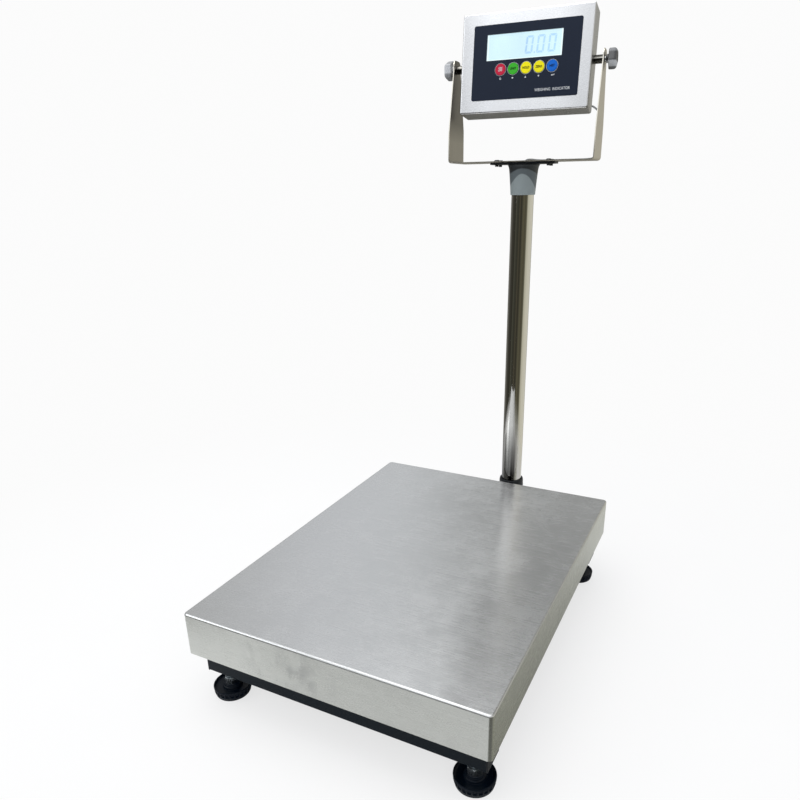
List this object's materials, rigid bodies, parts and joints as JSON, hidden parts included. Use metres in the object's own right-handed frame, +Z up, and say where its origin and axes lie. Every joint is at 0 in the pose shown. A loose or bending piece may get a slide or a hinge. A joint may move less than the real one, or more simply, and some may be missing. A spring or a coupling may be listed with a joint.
{
  "type": "animal weighing scale",
  "caption": "Bench scale for animals: flat stainless platter on a low painted base with levelling feet, and a rear column carrying a tilting display unit in a U bracket.",
  "frame": {"origin": "on the floor, under the centre of the whole footprint, 40 mm behind the centre of the platter, with the feet screwed in to their pictured height", "axes": "+X to the operator's right when facing the display, +Y from the platter towards the column, +Z up"},
  "size_m": [0.45, 0.6802, 0.9439],
  "materials": {
    "black_paint": "satin powder coat",
    "black_plastic": "fine matt texture",
    "rubber": "matt black rubber",
    "zinc": "bright zinc plating",
    "brushed_steel": "fine straight brushed grain",
    "polished_steel": "mirror polished stainless tube",
    "alloy": "machined and anodised",
    "grey_plastic": "moulded blue-grey plastic",
    "overlay_film": "dark navy printed film",
    "lcd_window": "clear window",
    "lcd_panel": "pale backlit display",
    "circuit_board": "green solder mask",
    "battery_wrap": "black shrink wrap",
    "key_red": "printed film over a key",
    "key_green": "printed film over a key",
    "key_yellow": "printed film over a key",
    "key_blue": "printed film over a key"
  },
  "bodies": {
    "base": {"base_frame": "black_paint", "tube_cap_front_left": "black_plastic", "tube_cap_front_right": "black_plastic", "tube_cap_rear_left": "black_plastic", "tube_cap_rear_right": "black_plastic", "foot_locknut_front_left": "zinc", "foot_locknut_front_right": "zinc", "foot_locknut_rear_left": "zinc", "foot_locknut_rear_right": "zinc", "load_cell": "alloy", "load_cell_lower_spacer": "black_paint", "load_cell_lower_bolt_front": "zinc", "load_cell_lower_bolt_rear": "zinc", "column_socket": "black_paint", "socket_collar": "black_plastic", "column_tube": "polished_steel"},
    "deck": {"top_frame": "black_paint", "load_cell_upper_spacer": "black_paint", "load_cell_upper_bolt_front": "zinc", "load_cell_upper_bolt_rear": "zinc", "platter_cushion_front_left": "rubber", "platter_cushion_front_right": "rubber", "platter_cushion_rear_left": "rubber", "platter_cushion_rear_right": "rubber"},
    "platter": {"platter_pan": "brushed_steel"},
    "head": {"column_head": "grey_plastic", "head_flange": "black_plastic", "indicator_bracket": "brushed_steel", "bracket_screw_front_left": "zinc", "bracket_screw_front_right": "zinc", "bracket_screw_rear_left": "zinc", "bracket_screw_rear_right": "zinc"},
    "indicator": {"front_housing": "brushed_steel", "rear_cover": "brushed_steel", "cover_gasket": "rubber", "keypad_overlay": "overlay_film", "lcd_window": "lcd_window", "lcd_panel": "lcd_panel", "main_board": "circuit_board", "battery_pack": "battery_wrap", "cable_gland": "black_plastic", "spacer_bush_left": "zinc", "spacer_bush_right": "zinc"},
    "key_red": {"key_red": "key_red"},
    "key_green": {"key_green": "key_green"},
    "key_yellow_left": {"key_yellow_left": "key_yellow"},
    "key_yellow_right": {"key_yellow_right": "key_yellow"},
    "key_blue": {"key_blue": "key_blue"},
    "knob_stud_left": {"knob_stud_left": "zinc"},
    "tilt_knob_left": {"tilt_knob_left": "grey_plastic"},
    "knob_stud_right": {"knob_stud_right": "zinc"},
    "tilt_knob_right": {"tilt_knob_right": "grey_plastic"},
    "foot_pad_front_left": {"foot_pad_front_left": "rubber"},
    "foot_stud_front_left": {"foot_stud_front_left": "zinc"},
    "foot_pad_front_right": {"foot_pad_front_right": "rubber"},
    "foot_stud_front_right": {"foot_stud_front_right": "zinc"},
    "foot_pad_rear_left": {"foot_pad_rear_left": "rubber"},
    "foot_stud_rear_left": {"foot_stud_rear_left": "zinc"},
    "foot_pad_rear_right": {"foot_pad_rear_right": "rubber"},
    "foot_stud_rear_right": {"foot_stud_rear_right": "zinc"}
  },
  "joints": [
    {"name": "deck_deflection", "type": "slide", "parent": "base", "child": "deck", "axis": [0, 0, -1], "range_m": [0, 0.0006], "stiffness_N_per_m": 500000, "springref_m": -0.0002, "deforming": ["load_cell"]},
    {"name": "platter_lift_off", "type": "slide", "parent": "deck", "child": "platter", "axis": [0, 0, 1], "range_m": [0, 0.12]},
    {"name": "head_swivel", "type": "hinge", "parent": "base", "child": "head", "pos_m": [0.03, 0.29486, 0.7], "axis": [0, 0, 1], "range_deg": [-90, 90]},
    {"name": "indicator_tilt", "type": "hinge", "parent": "head", "child": "indicator", "pos_m": [0.03, 0.29486, 0.8682], "axis": [0.9973, 0.0732, 0], "range_deg": [-60, 45]},
    {"name": "key_red_press", "type": "slide", "parent": "indicator", "child": "key_red", "axis": [-0.0726, 0.989, -0.1288], "range_m": [0, 0.0008], "stiffness_N_per_m": 150},
    {"name": "key_green_press", "type": "slide", "parent": "indicator", "child": "key_green", "axis": [-0.0726, 0.989, -0.1288], "range_m": [0, 0.0008], "stiffness_N_per_m": 150},
    {"name": "key_yellow_left_press", "type": "slide", "parent": "indicator", "child": "key_yellow_left", "axis": [-0.0726, 0.989, -0.1288], "range_m": [0, 0.0008], "stiffness_N_per_m": 150},
    {"name": "key_yellow_right_press", "type": "slide", "parent": "indicator", "child": "key_yellow_right", "axis": [-0.0726, 0.989, -0.1288], "range_m": [0, 0.0008], "stiffness_N_per_m": 150},
    {"name": "key_blue_press", "type": "slide", "parent": "indicator", "child": "key_blue", "axis": [-0.0726, 0.989, -0.1288], "range_m": [0, 0.0008], "stiffness_N_per_m": 150},
    {"name": "tilt_knob_left_back_off", "type": "slide", "parent": "indicator", "child": "knob_stud_left", "axis": [-0.9973, -0.0732, 0], "range_m": [0, 0.0025]},
    {"name": "tilt_knob_left_turn", "type": "hinge", "parent": "knob_stud_left", "child": "tilt_knob_left", "pos_m": [-0.09965, 0.28534, 0.8682], "axis": [-0.9973, -0.0732, 0], "range_deg": [0, 725]},
    {"name": "tilt_knob_right_back_off", "type": "slide", "parent": "indicator", "child": "knob_stud_right", "axis": [0.9973, 0.0732, 0], "range_m": [0, 0.0025]},
    {"name": "tilt_knob_right_turn", "type": "hinge", "parent": "knob_stud_right", "child": "tilt_knob_right", "pos_m": [0.15965, 0.30439, 0.8682], "axis": [0.9973, 0.0732, 0], "range_deg": [0, 725]},
    {"name": "foot_front_left_height", "type": "slide", "parent": "base", "child": "foot_pad_front_left", "axis": [0, 0, -1], "range_m": [-0.0035, 0.0105]},
    {"name": "foot_front_left_turn", "type": "hinge", "parent": "foot_pad_front_left", "child": "foot_stud_front_left", "pos_m": [-0.19, -0.30014, 0.024], "axis": [0, 0, -1], "range_deg": [-725, 2165]},
    {"name": "foot_front_right_height", "type": "slide", "parent": "base", "child": "foot_pad_front_right", "axis": [0, 0, -1], "range_m": [-0.0035, 0.0105]},
    {"name": "foot_front_right_turn", "type": "hinge", "parent": "foot_pad_front_right", "child": "foot_stud_front_right", "pos_m": [0.19, -0.30014, 0.024], "axis": [0, 0, -1], "range_deg": [-725, 2165]},
    {"name": "foot_rear_left_height", "type": "slide", "parent": "base", "child": "foot_pad_rear_left", "axis": [0, 0, -1], "range_m": [-0.0035, 0.0105]},
    {"name": "foot_rear_left_turn", "type": "hinge", "parent": "foot_pad_rear_left", "child": "foot_stud_rear_left", "pos_m": [-0.19, 0.21986, 0.024], "axis": [0, 0, -1], "range_deg": [-725, 2165]},
    {"name": "foot_rear_right_height", "type": "slide", "parent": "base", "child": "foot_pad_rear_right", "axis": [0, 0, -1], "range_m": [-0.0035, 0.0105]},
    {"name": "foot_rear_right_turn", "type": "hinge", "parent": "foot_pad_rear_right", "child": "foot_stud_rear_right", "pos_m": [0.19, 0.21986, 0.024], "axis": [0, 0, -1], "range_deg": [-725, 2165]}
  ],
  "couplings": [
    {"joint": "tilt_knob_left_turn", "follows": "tilt_knob_left_back_off", "rad_per_m": 5026.5},
    {"joint": "tilt_knob_right_turn", "follows": "tilt_knob_right_back_off", "rad_per_m": 5026.5},
    {"joint": "foot_front_left_turn", "follows": "foot_front_left_height", "rad_per_m": 3590.4},
    {"joint": "foot_front_right_turn", "follows": "foot_front_right_height", "rad_per_m": 3590.4},
    {"joint": "foot_rear_left_turn", "follows": "foot_rear_left_height", "rad_per_m": 3590.4},
    {"joint": "foot_rear_right_turn", "follows": "foot_rear_right_height", "rad_per_m": 3590.4}
  ]
}
